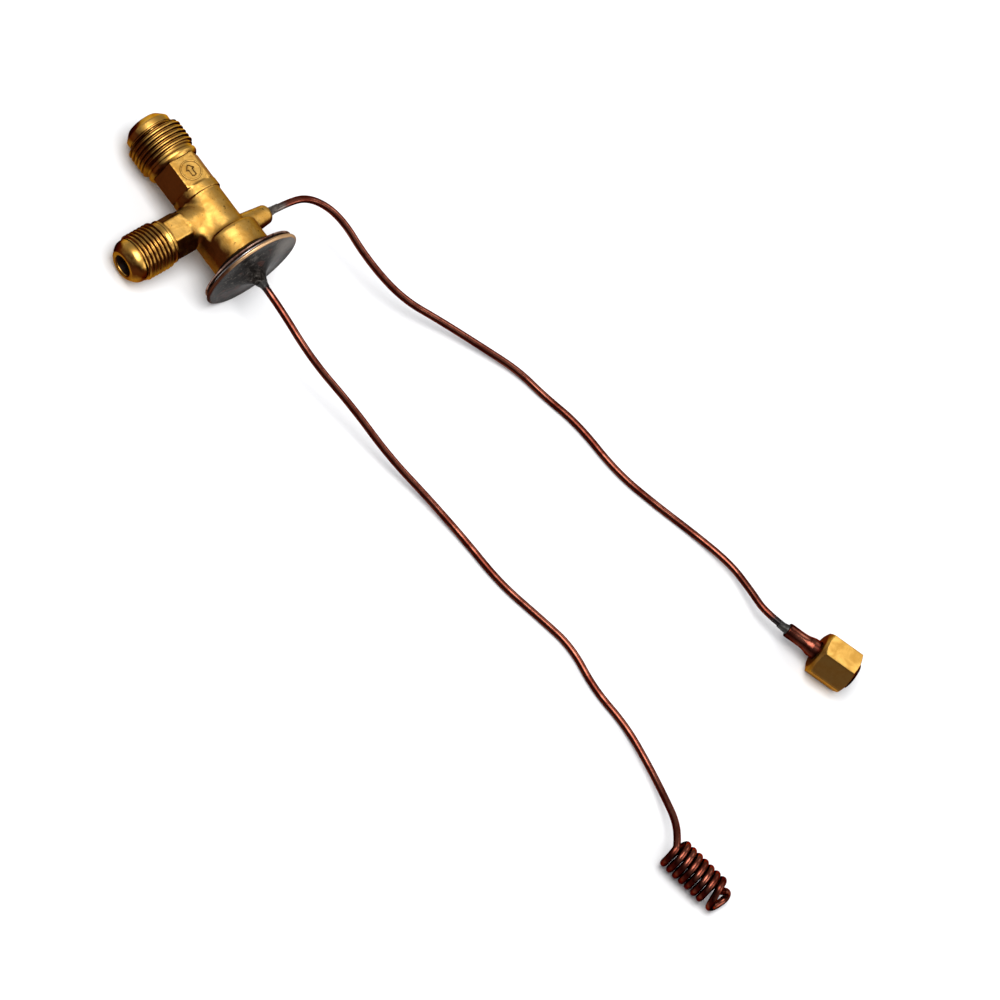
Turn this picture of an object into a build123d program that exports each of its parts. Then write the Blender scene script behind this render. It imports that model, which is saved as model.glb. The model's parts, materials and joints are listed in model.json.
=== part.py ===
from build123d import *
from math import asin, atan2, cos, degrees, hypot, pi, radians, sin, sqrt, tan
import os

# Thermostatic expansion valve with an external equaliser, angle type. Millimetres.
# The valve's own frame has X along the main axis, towards the power head, with the outlet on -X,
# the inlet on -Y, the equaliser boss on +Y and the two ports' axes crossing at its origin.

# Outlet port, a half inch flare connection
outlet_reach = 37.0
outlet_thread_dia = 19.05
outlet_thread_start = 32.2
outlet_thread_end = 22.6
outlet_thread_lead = 1.3
outlet_nose_dia = 15.5
outlet_nose_round = 0.5
outlet_mouth_dia = 11.2
outlet_bore = 10.3
outlet_hex = 15.0
outlet_hex_start = 19.5
outlet_hex_end = 9.05
outlet_collar_dia = 17.5
outlet_collar_length = 2.0

# Inlet port, a three eighths flare connection
inlet_reach = 34.9
inlet_thread_dia = 15.875
inlet_thread_start = 30.0
inlet_thread_end = 20.0
inlet_thread_lead = 0.75
inlet_nose_dia = 14.4
inlet_nose_round = 1.5
inlet_mouth_dia = 10.0
inlet_bore = 7.1
inlet_bore_chamfer = 0.4
inlet_hex = 12.7
inlet_hex_start = 17.9
inlet_hex_end = 10.9
inlet_collar_dia = 14.6
inlet_collar_length = 1.1
inlet_root_dia = 13.2

# Threads and edges
relief_depth = 0.85
groove_depth = 0.45
groove_width = 0.7
lead_slope = 0.7
outlet_thread_full = outlet_thread_start - lead_slope * outlet_thread_lead
inlet_thread_full = inlet_thread_start - lead_slope * inlet_thread_lead
hex_chamfer = 0.45

# Forged middle of the body
barrel_dia = 14.8
step_dia = 15.9
step_end = 6.3
blend = 1.6

# Neck that carries the power head, and its web to the inlet
neck_start = 8.1
neck_end = 17.1
neck_foot = 1.1
neck_blend = 1.6
neck_dia = barrel_dia + 2 * (neck_foot + neck_blend)
web_start = 3.2
web_width = 11.0
spigot_dia = 16.0
spigot_length = 0.8
pocket_dia = 12.0
pocket_start = 10.2

# Boss of the equaliser connection
boss_x = 8.4
boss_reach = 16.4
boss_root_dia = 10.1
boss_tip_dia = 6.0
boss_round = 1.7
tube_socket = 4.8
passage_dia = 1.6
passage_y = 5.0

# Orifice and its seat, on the outlet side of the inlet chamber
seat_x = 8.2
orifice_dia = 3.2
seat_chamfer = 0.3

# Pin, its seal and its washer
pin_dia = 1.6
pin_clearance = 0.05
seal_floor = 7.2
seal_room = 2.0
seal_pocket_dia = 5.0
washer_dia = 6.4
washer_thick = 0.8

# Ball, its carrier, the spring and the adjusting screw
ball_dia = 5.0
ball_gap = 0.1
carrier_dia = 8.4
carrier_thick = 2.0
carrier_cup = 1.0
carrier_stem_dia = 4.6
carrier_stem = 3.0
spring_mean_dia = 6.8
spring_wire = 0.9
spring_turns = 4.5
spring_length = 8.6
spring_gap = 0.05
screw_length = 4.5
screw_clearance = 0.05
screw_socket = 5.0
screw_chamfer = 0.5

# Power head
sheet = 1.0
lower_flange = 0.9
upper_flange = 1.5
flange_rounding = 0.43
sheet_bend = 0.35
lower_rim_dia = 32.6
rim_lap = 0.7
rim_land = 2.8
upper_rim_dia = lower_rim_dia + 2 * rim_lap
clamp_dia = lower_rim_dia - 2 * rim_land
dish_depth = 3.3
rim_plane = neck_end + dish_depth
diaphragm_thick = 0.3
diaphragm_inset = 1.2
diaphragm_dia = lower_rim_dia - 2 * diaphragm_inset
wave_height = 0.35
wave_width = 1.6
wave_inset = 0.9
wave_dia = clamp_dia - 2 * (wave_width + wave_inset)
trumpet_foot = 1.2
trumpet_foot_dia = 13.0
trumpet_throat = 1.8
trumpet_throat_dia = 6.0
nipple_dia = 3.7
nipple_rise = 7.0
nipple_end = rim_plane + nipple_rise
nipple_socket = 1.2
tube_depth = 3.0
plate_room = 3.4
plate_dia = clamp_dia - 2 * plate_room
plate_thick = 1.0
plate_hub_dia = 6.0
plate_hub = 5.2
plate_gap = 0.3
pin_seat = 1.2
head_braze_length = 1.8

# Strainer in the inlet
strainer_dia = 6.5
strainer_wall = 0.3
strainer_length = 12.0
strainer_start = 27.6
ring_length = 1.6
ring_wall = 0.6

# Copper tubes
tube_dia = 2.4
bend_share = 0.45
braze_edge = 0.12
braze_waist = 0.22
braze_length = 3.4
braze_land = 0.2
braze_root_dia = boss_tip_dia - 2 * (boss_round - braze_land)
straight_exit = 8.0

# Sleeve with its flare, and the nut on it
sleeve_dia = 6.35
sleeve_wall = 0.8
sleeve_rear_dia = 4.9
sleeve_swage_start = 7.4
sleeve_swage_end = 10.0
sleeve_length = 26.3
flare_dia = 9.1
sleeve_insert = 5.0
plug_length = 3.6
plug_tail = 1.2
nut_hex = 14.29
nut_length = 13.2
nut_start = 11.9
nut_bore_clearance = 0.07
nut_thread_bore = 9.9
nut_thread_depth = 8.6
nut_rear_chamfer = 1.5
nut_rear_dia = 11.6
nut_front_chamfer = 0.5
nut_front_dia = 13.4

# Coiled bulb
coil_dia = 11.0
coil_pitch = 2.62
coil_turns = 8
coil_valley = 0.72
coil_flat = 1.15
coil_nick = 0.1
coil_heading = 17.0
coil_lead = 0.8
coil_drop = 1.6

# Where the loose ends lie on the floor, from the centre of the valve's box
sleeve_rear_place = (204.4, 119.0)
sleeve_heading = 28.0
coil_place = (246.4, 34.2)

# Routes of the two tubes after their exits, from the same centre and above the floor
sensing_route = [
    (59.5, 9.8, 15.6),
    (78.0, 17.2, 10.6),
    (96.5, 22.4, 6.0),
    (113.0, 29.0, 2.8),
    (130.0, 33.6, 1.4),
    (147.5, 36.4, 1.25),
    (163.5, 42.6, 1.25),
    (176.0, 47.0, 1.25),
    (191.0, 45.7, 1.25),
    (206.0, 48.6, 1.3),
    (220.5, 46.9, 2.6),
    (232.0, 44.0, 4.8),
    (241.0, 40.4, 7.8),
]
equaliser_route = [
    (14.2, 40.2, 20.2),
    (23.0, 47.6, 17.6),
    (38.0, 50.8, 13.0),
    (53.5, 57.2, 9.0),
    (65.0, 68.0, 5.8),
    (78.0, 78.2, 3.4),
    (90.0, 86.8, 1.9),
    (100.5, 90.4, 1.3),
    (114.0, 96.2, 1.25),
    (133.5, 99.0, 1.25),
    (149.0, 105.6, 1.25),
    (162.5, 112.2, 1.3),
    (176.5, 117.0, 2.8),
    (187.5, 116.4, 5.2),
]


def turned(points):
    """A solid of revolution about X from its (x, radius) outline."""
    return revolve(make_face(Polyline(*points, close=True)), axis=Axis.X)


def rod(start, end, dia):
    """A cylinder along X."""
    return turned([(start, 0), (end, 0), (end, dia / 2), (start, dia / 2)])


def hexagon(start, end, flats, chamfer):
    """A hexagon bar along X with two flats square to Z and its corners turned off at both ends."""
    profile = Plane.YZ.offset(start) * RegularPolygon(flats / 2, 6, major_radius=False)
    corner = flats / sqrt(3)
    turning = turned(
        [
            (start, 0),
            (start, corner - chamfer),
            (start + chamfer / 2, corner),
            (end - chamfer / 2, corner),
            (end, corner - chamfer),
            (end, 0),
        ]
    )
    return extrude(profile, amount=end - start, dir=(1, 0, 0)) & turning


def circles(shape, dia):
    """Round edges of one diameter, in their order along X."""
    edges = shape.edges().filter_by(GeomType.CIRCLE)
    return edges.filter_by(lambda e: abs(e.radius - dia / 2) < 0.01).sort_by(Axis.X)


def flare_nose(reach, mouth, nose, rounding, back):
    """Cone and nose of a flare port about X, with its shoulder rounded."""
    cone = (nose - mouth) / 2
    front = turned([(back, 0), (reach, 0), (reach, mouth / 2), (reach - cone, nose / 2), (back, nose / 2)])
    return fillet(circles(front, nose)[-1], rounding)


def flare_thread(thread, groove, start, full, lead, end, hex_start, collar, collar_length):
    """Groove, thread, relief and collar of a flare port about X."""
    bar = thread / 2 - relief_depth
    return turned(
        [
            (hex_start, 0),
            (start + groove_width, 0),
            (start + groove_width, groove / 2),
            (start, groove / 2),
            (start, thread / 2 - lead),
            (full, thread / 2),
            (end + relief_depth, thread / 2),
            (end, bar),
            (hex_start + collar_length, bar),
            (hex_start + collar_length, collar / 2),
            (hex_start, collar / 2),
        ]
    )


def outlet_arm():
    arm = flare_nose(
        reach=outlet_reach,
        mouth=outlet_mouth_dia,
        nose=outlet_nose_dia,
        rounding=outlet_nose_round,
        back=outlet_thread_start + groove_width,
    )
    arm += flare_thread(
        thread=outlet_thread_dia,
        groove=outlet_nose_dia - 2 * groove_depth,
        start=outlet_thread_start,
        full=outlet_thread_full,
        lead=outlet_thread_lead,
        end=outlet_thread_end,
        hex_start=outlet_hex_start,
        collar=outlet_collar_dia,
        collar_length=outlet_collar_length,
    )
    arm += hexagon(outlet_hex_end, outlet_hex_start, outlet_hex, hex_chamfer)
    arm += rod(step_end, outlet_hex_end, step_dia)
    return Rotation(0, 0, 180) * arm


def inlet_arm():
    arm = flare_nose(
        reach=inlet_reach,
        mouth=inlet_mouth_dia,
        nose=inlet_nose_dia,
        rounding=inlet_nose_round,
        back=inlet_thread_start + groove_width,
    )
    arm += flare_thread(
        thread=inlet_thread_dia,
        groove=inlet_nose_dia - 2 * groove_depth,
        start=inlet_thread_start,
        full=inlet_thread_full,
        lead=inlet_thread_lead,
        end=inlet_thread_end,
        hex_start=inlet_hex_start,
        collar=inlet_collar_dia,
        collar_length=inlet_collar_length,
    )
    arm += hexagon(inlet_hex_end, inlet_hex_start, inlet_hex, hex_chamfer)
    return Rotation(0, 0, -90) * arm


def neck():
    """Neck with a rounded rear edge, a hollow foot on the barrel and a web to the inlet."""
    wall, front = barrel_dia / 2, neck_start + neck_blend
    foot = JernArc((neck_start - neck_foot, wall), (1, 0), neck_foot, 90)
    rounded = JernArc(foot @ 1, (0, 1), neck_blend, -90)
    side = Polyline(rounded @ 1, (neck_end, neck_dia / 2), (neck_end, 0), (neck_start - neck_foot, 0), foot @ 0)
    collar = revolve(make_face(foot + rounded + side), axis=Axis.X)
    corner = Pos((web_start + front) / 2, -neck_dia / 4, 0) * Box(front - web_start, neck_dia / 2, web_width)
    return collar + (rod(web_start, front, neck_dia) & corner)


def forged_middle():
    """Barrel, neck, inlet root and boss, blended into one another."""
    barrel = rod(-outlet_hex_end, neck_start + neck_blend, barrel_dia)
    root = Rotation(0, 0, -90) * rod(0, inlet_hex_end, inlet_root_dia)
    middle = barrel + root
    middle = fillet(middle.edges().filter_by(GeomType.BSPLINE), blend)
    middle += neck()
    boss = turned(
        [
            (0, 0),
            (boss_reach, 0),
            (boss_reach, boss_tip_dia / 2),
            (0, boss_root_dia / 2),
        ]
    )
    boss = fillet(boss.edges().group_by(Axis.X)[-1], boss_round)
    return middle + Pos(boss_x, 0, 0) * Rotation(0, 0, 90) * boss


def valve_body():
    """The brass forging with everything that is drilled and bored in it."""
    body = forged_middle() + outlet_arm() + inlet_arm()
    body += rod(neck_end, neck_end + spigot_length, spigot_dia)
    head_end = neck_end + spigot_length
    chamber = inlet_bore / 2
    washer_floor = seal_floor + seal_room
    cuts = [
        rod(-outlet_reach - 1, -seat_x, outlet_bore),
        rod(-seat_x, 0, orifice_dia),
        turned(
            [
                (-seat_x, 0),
                (-seat_x, orifice_dia / 2 + seat_chamfer),
                (-seat_x + seat_chamfer, orifice_dia / 2),
                (-seat_x + seat_chamfer, 0),
            ]
        ),
        Rotation(0, 0, -90) * rod(-chamber, inlet_reach + 1, inlet_bore),
        Rotation(0, 0, -90)
        * turned(
            [
                (inlet_reach, 0),
                (inlet_reach, inlet_bore / 2 + inlet_bore_chamfer),
                (inlet_reach - inlet_bore_chamfer, inlet_bore / 2),
                (inlet_reach - inlet_bore_chamfer, 0),
            ]
        ),
        rod(0, seal_floor, pin_dia + 2 * pin_clearance),
        rod(seal_floor, washer_floor, seal_pocket_dia),
        rod(washer_floor, pocket_start, washer_dia),
        rod(pocket_start, head_end + 1, pocket_dia),
        Pos(boss_x, 0, 0) * Rotation(0, 0, 90) * rod(boss_reach - tube_socket, boss_reach + 1, tube_dia),
        Pos(boss_x, 0, 0) * Rotation(0, 0, 90) * rod(passage_y, boss_reach, passage_dia),
        Pos(0, passage_y, 0) * rod(boss_x - passage_dia / 2, pocket_start + 1, passage_dia),
    ]
    return body - cuts


def inlet_strainer():
    """Gauze cup, open towards the port."""
    outer = strainer_dia / 2
    inner = outer - strainer_wall
    front = strainer_start - ring_length
    back = front - strainer_length
    cup = turned(
        [
            (back, 0),
            (front, 0),
            (front, outer),
            (back + outer / 2, outer),
            (back, outer / 2),
        ]
    )
    room = turned(
        [
            (back + strainer_wall, 0),
            (front + 1, 0),
            (front + 1, inner),
            (back + outer / 2, inner),
            (back + strainer_wall, outer / 2 - strainer_wall),
        ]
    )
    return Rotation(0, 0, -90) * (cup - room)


def strainer_ring():
    ring = rod(strainer_start - ring_length, strainer_start, inlet_bore)
    ring -= rod(strainer_start - ring_length - 1, strainer_start + 1, inlet_bore - 2 * ring_wall)
    return Rotation(0, 0, -90) * ring


def ball_centre():
    """Place of the ball on X, just clear of its seat."""
    ring = orifice_dia / 2 + seat_chamfer
    return -seat_x - sqrt((ball_dia / 2) ** 2 - ring**2) - ball_gap


def valve_ball():
    return Pos(ball_centre(), 0, 0) * Sphere(ball_dia / 2)


def carrier_face():
    return ball_centre() - ball_dia / 2 + carrier_cup


def ball_carrier():
    """Flange with a cup for the ball and a stem inside the spring."""
    face = carrier_face()
    back = face - carrier_thick
    carrier = rod(back, face, carrier_dia) + rod(back - carrier_stem, back, carrier_stem_dia)
    return carrier - Pos(ball_centre(), 0, 0) * Sphere(ball_dia / 2)


def spring_front():
    return carrier_face() - carrier_thick - spring_gap


def superheat_spring():
    """Coil spring between the carrier and the screw."""
    radius = spring_mean_dia / 2
    travel = spring_length - spring_wire
    coil = Helix(travel / spring_turns, travel, radius)
    start = Plane(origin=coil @ 0, z_dir=coil % 0)
    wire = sweep(start * RegularPolygon(spring_wire / 2, 6), path=coil, is_frenet=True)
    back = spring_front() - spring_length + spring_wire / 2
    return Pos(back, 0, 0) * Rotation(0, 90, 0) * wire


def adjusting_screw():
    """Hollow screw that carries the spring in the outlet bore."""
    front = spring_front() - spring_length - spring_gap
    back = front - screw_length
    outer = outlet_bore / 2 - screw_clearance
    screw = turned(
        [
            (back, 0),
            (front, 0),
            (front, outer - screw_chamfer),
            (front - screw_chamfer, outer),
            (back + screw_chamfer, outer),
            (back, outer - screw_chamfer),
        ]
    )
    socket = Plane.YZ.offset(back - 1) * RegularPolygon(screw_socket / 2, 6, major_radius=False)
    return screw - extrude(socket, amount=screw_length + 2, dir=(1, 0, 0))


def push_pin():
    """Pin from the plate's hub through the seal and the orifice to the ball."""
    top = plate_bottom() - plate_hub + pin_seat
    return rod(ball_centre() + ball_dia / 2, top, pin_dia)


def pin_seal():
    """Ring round the pin, in its pocket."""
    inner = pin_dia / 2 + pin_clearance
    section = (seal_pocket_dia / 2 - inner) / 2
    middle = inner + section
    ring = revolve(Pos(0, middle) * Circle(section), axis=Axis.X)
    return Pos(seal_floor + seal_room / 2, 0, 0) * ring


def gland_washer():
    floor = seal_floor + seal_room
    washer = rod(floor, floor + washer_thick, washer_dia)
    return washer - rod(floor - 1, floor + washer_thick + 1, pin_dia + 2 * pin_clearance)


def plate_bottom():
    return rim_plane - plate_gap - plate_thick


def buffer_plate():
    """Plate under the diaphragm with a hub that takes the pin."""
    bottom = plate_bottom()
    plate = rod(bottom, bottom + plate_thick, plate_dia) + rod(bottom - plate_hub, bottom, plate_hub_dia)
    return plate - rod(bottom - plate_hub - 1, bottom - plate_hub + pin_seat, pin_dia)


def diaphragm():
    """Thin round sheet with one pressed wave, clamped between the covers."""
    low, high = rim_plane, rim_plane + diaphragm_thick
    crest = wave_dia / 2
    return turned(
        [
            (low, 0),
            (low, crest - wave_width),
            (low + wave_height, crest),
            (low, crest + wave_width),
            (low, diaphragm_dia / 2),
            (high, diaphragm_dia / 2),
            (high, crest + wave_width),
            (high + wave_height, crest),
            (high, crest - wave_width),
            (high, 0),
        ]
    )


def rounded_rim(cover, dia, thick):
    """Rounds both edges of a cover's flange."""
    return fillet(circles(cover, dia), flange_rounding * thick)


def lower_cover():
    """Dished cover brazed on the neck's spigot."""
    top = rim_plane
    hole = spigot_dia / 2
    collar = neck_dia / 2 + sheet / 2
    cover = turned(
        [
            (neck_end, hole),
            (neck_end, collar),
            (top - lower_flange, clamp_dia / 2),
            (top - lower_flange, lower_rim_dia / 2),
            (top, lower_rim_dia / 2),
            (top, clamp_dia / 2 - sheet_bend),
            (neck_end + sheet, collar - sheet_bend),
            (neck_end + sheet, hole),
        ]
    )
    return rounded_rim(cover, lower_rim_dia, lower_flange)


def upper_cover():
    """Outer cover, drawn out to a trumpet that takes the sensing tube."""
    low = rim_plane + diaphragm_thick
    high = low + upper_flange
    clamp, rim = clamp_dia / 2, upper_rim_dia / 2
    tip, bore = nipple_dia / 2, tube_dia / 2
    root = nipple_end - nipple_socket
    foot, throat = high + trumpet_foot, high + trumpet_throat
    foot_radius, throat_radius = trumpet_foot_dia / 2, trumpet_throat_dia / 2
    flange = Polyline((low, clamp), (low, rim), (high, rim), (high, clamp))
    outside = Bezier((high, clamp), (foot, foot_radius), (throat, throat_radius), (nipple_end, tip))
    socket = Polyline((nipple_end, tip), (nipple_end, bore), (root, bore))
    inside = Bezier(
        (root, bore), (throat - sheet, throat_radius - sheet / 2), (foot - sheet, foot_radius), (low, clamp)
    )
    cover = revolve(make_face(flange + outside + socket + inside), axis=Axis.X)
    return rounded_rim(cover, upper_rim_dia, upper_flange)


def braze_cone(start, root, length):
    """Hollow braze cone round a tube about X, steep at its root and thin at its end."""
    bore = tube_dia / 2
    return turned(
        [
            (start, bore),
            (start, root),
            (start + length / 3, bore + braze_waist),
            (start + length, bore + braze_edge),
            (start + length, bore),
        ]
    )


def head_braze():
    """Braze between the nipple and the sensing tube."""
    return braze_cone(nipple_end, nipple_dia / 2, head_braze_length)


def equaliser_braze():
    """Solder between the boss and the equaliser tube."""
    return Pos(boss_x, 0, 0) * Rotation(0, 0, 90) * braze_cone(boss_reach, braze_root_dia / 2, braze_length)


def nut_height():
    return nut_hex / 2


def on_sleeve(shape):
    """Places a shape made along X from the sleeve's rear end."""
    x, y = sleeve_rear_place
    return Pos(x, y, nut_height()) * Rotation(0, 0, sleeve_heading) * shape


def end_sleeve():
    """Copper sleeve, swaged at its rear and flared at its mouth."""
    outer, rear = sleeve_dia / 2, sleeve_rear_dia / 2
    inner, throat = outer - sleeve_wall, rear - sleeve_wall
    flare = flare_dia / 2 - outer
    return on_sleeve(
        turned(
            [
                (0, throat),
                (0, rear),
                (sleeve_swage_start, rear),
                (sleeve_swage_end, outer),
                (sleeve_length - flare, outer),
                (sleeve_length, flare_dia / 2),
                (sleeve_length, flare_dia / 2 - sleeve_wall),
                (sleeve_length - flare, inner),
                (sleeve_swage_end, inner),
                (sleeve_swage_start, throat),
            ]
        )
    )


def sleeve_braze():
    """Braze plug between the sleeve and the tube."""
    bore = tube_dia / 2
    throat = sleeve_rear_dia / 2 - sleeve_wall
    return on_sleeve(
        turned(
            [
                (-plug_tail, bore),
                (-plug_tail, bore + braze_edge),
                (0, sleeve_rear_dia / 2 - sleeve_wall / 2),
                (0, throat),
                (plug_length, throat),
                (plug_length, bore),
            ]
        )
    )


def flare_nut():
    """Hexagon nut with a tapped mouth, a flare seat and a bore for the sleeve."""
    end = nut_start + nut_length
    corner = nut_hex / sqrt(3)
    bar = Plane.YZ.offset(nut_start) * RegularPolygon(nut_hex / 2, 6, major_radius=False)
    turning = turned(
        [
            (nut_start, 0),
            (nut_start, nut_rear_dia / 2),
            (nut_start + nut_rear_chamfer, corner),
            (end - nut_front_chamfer, corner),
            (end, nut_front_dia / 2),
            (end, 0),
        ]
    )
    bore = sleeve_dia / 2 + nut_bore_clearance
    seat = end - nut_thread_depth
    room = turned(
        [
            (nut_start - 1, 0),
            (nut_start - 1, bore),
            (seat - (nut_thread_bore / 2 - bore), bore),
            (seat, nut_thread_bore / 2),
            (end + 1, nut_thread_bore / 2),
            (end + 1, 0),
        ]
    )
    return on_sleeve((extrude(bar, amount=nut_length, dir=(1, 0, 0)) & turning) - room)


def pitch_angle():
    """Tilt of the main axis when the head's rim and the outlet thread touch the floor."""
    rise = (upper_rim_dia - outlet_thread_dia) / 2
    run = head_rest_x() + outlet_thread_full
    return atan2(rise, run)


def head_rest_x():
    return rim_plane + diaphragm_thick + upper_flange / 2


def crossing_height():
    pitch = pitch_angle()
    return upper_rim_dia / 2 * cos(pitch) - head_rest_x() * sin(pitch)


def roll_angle():
    """Turn about the main axis that lets the inlet thread down to the floor."""
    radius = inlet_thread_dia / 2
    dip = asin(crossing_height() / hypot(inlet_thread_full, radius)) - atan2(radius, inlet_thread_full)
    return asin(sin(dip) / cos(pitch_angle()))


def laid():
    """Placement of the valve's own frame as it lies on the floor."""
    tilt = Rotation(0, -degrees(pitch_angle()), 0) * Rotation(degrees(roll_angle()), 0, 0)
    return Pos(0, 0, crossing_height()) * tilt


def resting_place(shapes):
    """Placement that lays the valve down with its box centred over the row's origin."""
    boxes = [(laid() * shape).bounding_box() for shape in shapes]
    low_x, high_x = min(box.min.X for box in boxes), max(box.max.X for box in boxes)
    low_y, high_y = min(box.min.Y for box in boxes), max(box.max.Y for box in boxes)
    low_z = min(box.min.Z for box in boxes)
    return Pos(-(low_x + high_x) / 2, -(low_y + high_y) / 2, -low_z) * laid()


def bend_radii(points):
    """Radius at each inner point of a route, from its shorter run and half its turn."""
    radii = []
    for before, here, after in zip(points, points[1:], points[2:]):
        first, second = Vector(here) - Vector(before), Vector(after) - Vector(here)
        half = radians(first.get_angle(second)) / 2
        radii.append(bend_share * min(first.length, second.length) / tan(half))
    return radii


def tube_along(name, points):
    """Tube through a route of straight runs joined by tangent arcs."""
    radii = bend_radii(points)
    path = FilletPolyline(*points, radius=radii)
    section = Plane(origin=path @ 0, z_dir=path % 0) * Circle(tube_dia / 2)
    tube = sweep(section, path=path)
    expected = path.length * (tube_dia / 2) ** 2 * pi
    print(name, "radii", [round(r, 1) for r in radii], "length", round(path.length, 1))
    print(name, "volume over section times length", round(tube.volume / expected, 4))
    return tube


def point(vector):
    return (vector.X, vector.Y, vector.Z)


def sensing_points(place):
    """Route from inside the nipple to the coil, for a valve placed so."""
    start = (place * Pos(nipple_end - tube_depth, 0, 0)).position
    leave = (place * Pos(nipple_end + straight_exit, 0, 0)).position
    return [point(start), point(leave)] + sensing_route + [coil_entry()]


def coil_entry():
    """Where the tube runs on to the crown of the coil."""
    x, y = coil_place
    return (x - coil_lead, y + coil_lead, coil_dia - coil_drop)


def equaliser_points(place):
    """Route from inside the boss to inside the sleeve, for a valve placed so."""
    boss = place * Pos(boss_x, 0, 0) * Rotation(0, 0, 90)
    start = (boss * Pos(boss_reach - tube_socket, 0, 0)).position
    leave = (boss * Pos(boss_reach + straight_exit, 0, 0)).position
    x, y = sleeve_rear_place
    sleeve = Pos(x, y, nut_height()) * Rotation(0, 0, sleeve_heading)
    enter = (sleeve * Pos(-straight_exit, 0, 0)).position
    end = (sleeve * Pos(sleeve_insert, 0, 0)).position
    return [point(start), point(leave)] + equaliser_route + [point(enter), point(end)]


def sensing_coil():
    """Close-wound coil as one body with a crown for each turn."""
    crest, valley, bore = coil_dia / 2, coil_dia / 2 - coil_valley, coil_dia / 2 - tube_dia
    shoulder = (coil_pitch - coil_flat) / 2
    outline = [(0, bore)]
    for turn in range(coil_turns):
        start, end = turn * coil_pitch, (turn + 1) * coil_pitch
        outline.append((start + coil_nick / 2, valley))
        outline.append((start + shoulder, crest))
        outline.append((end - shoulder, crest))
        outline.append((end - coil_nick / 2, valley))
    outline.append((coil_turns * coil_pitch, bore))
    x, y = coil_place
    return Pos(x, y, coil_dia / 2) * Rotation(0, 0, coil_heading) * turned(outline)


def build():
    """Every sub-part in place on the floor, by node name."""
    valve = {
        "valve_body": valve_body(),
        "inlet_strainer": inlet_strainer(),
        "strainer_ring": strainer_ring(),
        "push_pin": push_pin(),
        "pin_seal": pin_seal(),
        "gland_washer": gland_washer(),
        "valve_ball": valve_ball(),
        "ball_carrier": ball_carrier(),
        "superheat_spring": superheat_spring(),
        "adjusting_screw": adjusting_screw(),
        "buffer_plate": buffer_plate(),
        "diaphragm": diaphragm(),
        "lower_cover": lower_cover(),
        "upper_cover": upper_cover(),
        "head_braze": head_braze(),
        "equaliser_braze": equaliser_braze(),
    }
    outside = ("valve_body", "upper_cover", "head_braze", "equaliser_braze")
    place = resting_place([valve[name] for name in outside])
    nodes = {name: place * shape for name, shape in valve.items()}
    nodes["sensing_tube"] = tube_along("sensing_tube", sensing_points(place))
    nodes["sensing_coil"] = sensing_coil()
    nodes["equaliser_tube"] = tube_along("equaliser_tube", equaliser_points(place))
    nodes["end_sleeve"] = end_sleeve()
    nodes["sleeve_braze"] = sleeve_braze()
    nodes["flare_nut"] = flare_nut()
    return nodes


os.makedirs("parts", exist_ok=True)
for name, shape in build().items():
    export_step(shape, f"parts/{name}.step")
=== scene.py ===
import json
from math import ceil, cos, pi, radians, sin, sqrt
import bmesh
import bpy
from mathutils import Matrix, Vector, noise


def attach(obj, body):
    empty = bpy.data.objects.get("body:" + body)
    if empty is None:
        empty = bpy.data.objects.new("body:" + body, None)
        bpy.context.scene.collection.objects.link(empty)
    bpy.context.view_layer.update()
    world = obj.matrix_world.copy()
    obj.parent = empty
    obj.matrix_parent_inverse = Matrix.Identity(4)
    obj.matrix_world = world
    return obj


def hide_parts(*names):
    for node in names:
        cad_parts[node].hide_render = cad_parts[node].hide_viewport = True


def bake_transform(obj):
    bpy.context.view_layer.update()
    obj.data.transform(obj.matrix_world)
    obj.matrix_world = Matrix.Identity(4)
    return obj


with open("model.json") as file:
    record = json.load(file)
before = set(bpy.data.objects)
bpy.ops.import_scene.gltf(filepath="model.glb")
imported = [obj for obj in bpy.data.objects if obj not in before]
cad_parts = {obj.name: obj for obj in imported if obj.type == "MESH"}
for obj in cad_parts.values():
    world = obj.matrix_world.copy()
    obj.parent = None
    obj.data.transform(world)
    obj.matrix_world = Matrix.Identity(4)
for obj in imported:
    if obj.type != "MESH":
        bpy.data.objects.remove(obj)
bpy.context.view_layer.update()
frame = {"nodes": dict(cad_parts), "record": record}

mm = 0.001
nodes = frame["nodes"]
mounts = {mount["name"]: mount for mount in frame["record"]["mounts"]}


# Camera, at the photograph's angle and rolled as it is there

cameraSettings = {
    "place": (0.38759, -1.39154, 1.92974),
    "azimuth": 10.334,
    "elevation": 52.700,
    "roll": 49.702,
    "lens": 276.46,
    "sensor": 36.0,
    "clipEnd": 50.0,
}


def makeCamera(settings):
    data = bpy.data.cameras.new("camera")
    data.lens = settings["lens"]
    data.sensor_width = settings["sensor"]
    data.clip_end = settings["clipEnd"]
    camera = bpy.data.objects.new("camera", data)
    turn = Matrix.Rotation(radians(settings["azimuth"]), 4, "Z")
    tilt = Matrix.Rotation(radians(90 - settings["elevation"]), 4, "X")
    roll = Matrix.Rotation(radians(settings["roll"]), 4, "Z")
    camera.matrix_world = Matrix.Translation(settings["place"]) @ turn @ tilt @ roll
    bpy.context.scene.collection.objects.link(camera)
    bpy.context.scene.camera = camera


makeCamera(cameraSettings)
print("camera is placed")


# Where things lie, read from the mounts of the frame

def axesFrame(origin, xAxis, yAxis):
    x, y = Vector(xAxis).normalized(), Vector(yAxis).normalized()
    z = x.cross(y)
    rows = Matrix((x, y, z)).transposed().to_4x4()
    return Matrix.Translation(origin) @ rows


def valveFrame():
    outlet, inlet = mounts["outlet_flare"], mounts["inlet_flare"]
    xAxis, yAxis = -Vector(outlet["axis"]), -Vector(inlet["axis"])
    outletPlace, inletPlace = Vector(outlet["pos_m"]), Vector(inlet["pos_m"])
    crossing = outletPlace + xAxis * (inletPlace - outletPlace).dot(xAxis)
    return axesFrame(crossing, xAxis, yAxis)


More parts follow.
